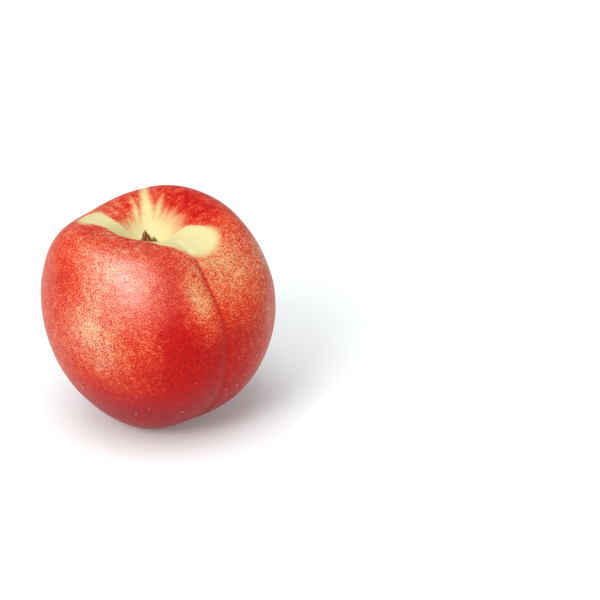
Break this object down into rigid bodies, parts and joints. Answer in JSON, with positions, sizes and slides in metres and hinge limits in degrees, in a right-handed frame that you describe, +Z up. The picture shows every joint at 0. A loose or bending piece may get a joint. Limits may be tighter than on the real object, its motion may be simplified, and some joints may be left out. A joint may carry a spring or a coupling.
{
  "type": "peach",
  "caption": "Whole ripe peach with a smooth red and cream skin, a stem cavity holding a torn stem stub, and one suture; rests on its tip.",
  "frame": {"origin": "middle of the bottom of the fruit's box, on the surface that it rests on", "axes": "+Z up through the stem cavity; the suture faces between +X and -Y"},
  "size_m": [0.076, 0.0758, 0.0721],
  "materials": {
    "skin": "smooth satin skin, red blush stippled over cream",
    "stem_wood": "torn brown wood, rough and fibrous",
    "bark": "dry green bark with dark brown edges"
  },
  "bodies": {
    "root": {"fruit": "skin", "stem_stub": "stem_wood", "bark_flap_left": "bark", "bark_flap_right": "bark"}
  },
  "joints": []
}
